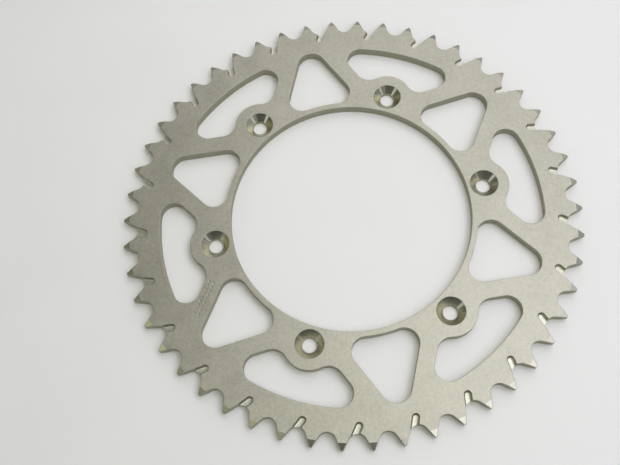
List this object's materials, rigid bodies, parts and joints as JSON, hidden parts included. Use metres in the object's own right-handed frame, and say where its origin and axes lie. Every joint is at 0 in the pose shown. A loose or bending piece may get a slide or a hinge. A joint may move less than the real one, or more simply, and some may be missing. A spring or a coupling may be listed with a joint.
{
  "type": "motorcycle rear sprocket",
  "caption": "Flat one-piece chain sprocket with a large hub bore, a ring of countersunk bolt holes, spoked windows and mud grooves between its teeth.",
  "frame": {"origin": "centre of the hub bore on the back face, which seats on the hub", "axes": "+Z out of the countersunk front face along the wheel axle, +Y through a bolt hole that is in line with a tooth"},
  "size_m": [0.2596, 0.26, 0.0058],
  "materials": {
    "anodised_aluminium": "fine bead-blasted, pale olive anodised"
  },
  "bodies": {
    "root": {"sprocket_plate": "anodised_aluminium"}
  },
  "joints": []
}
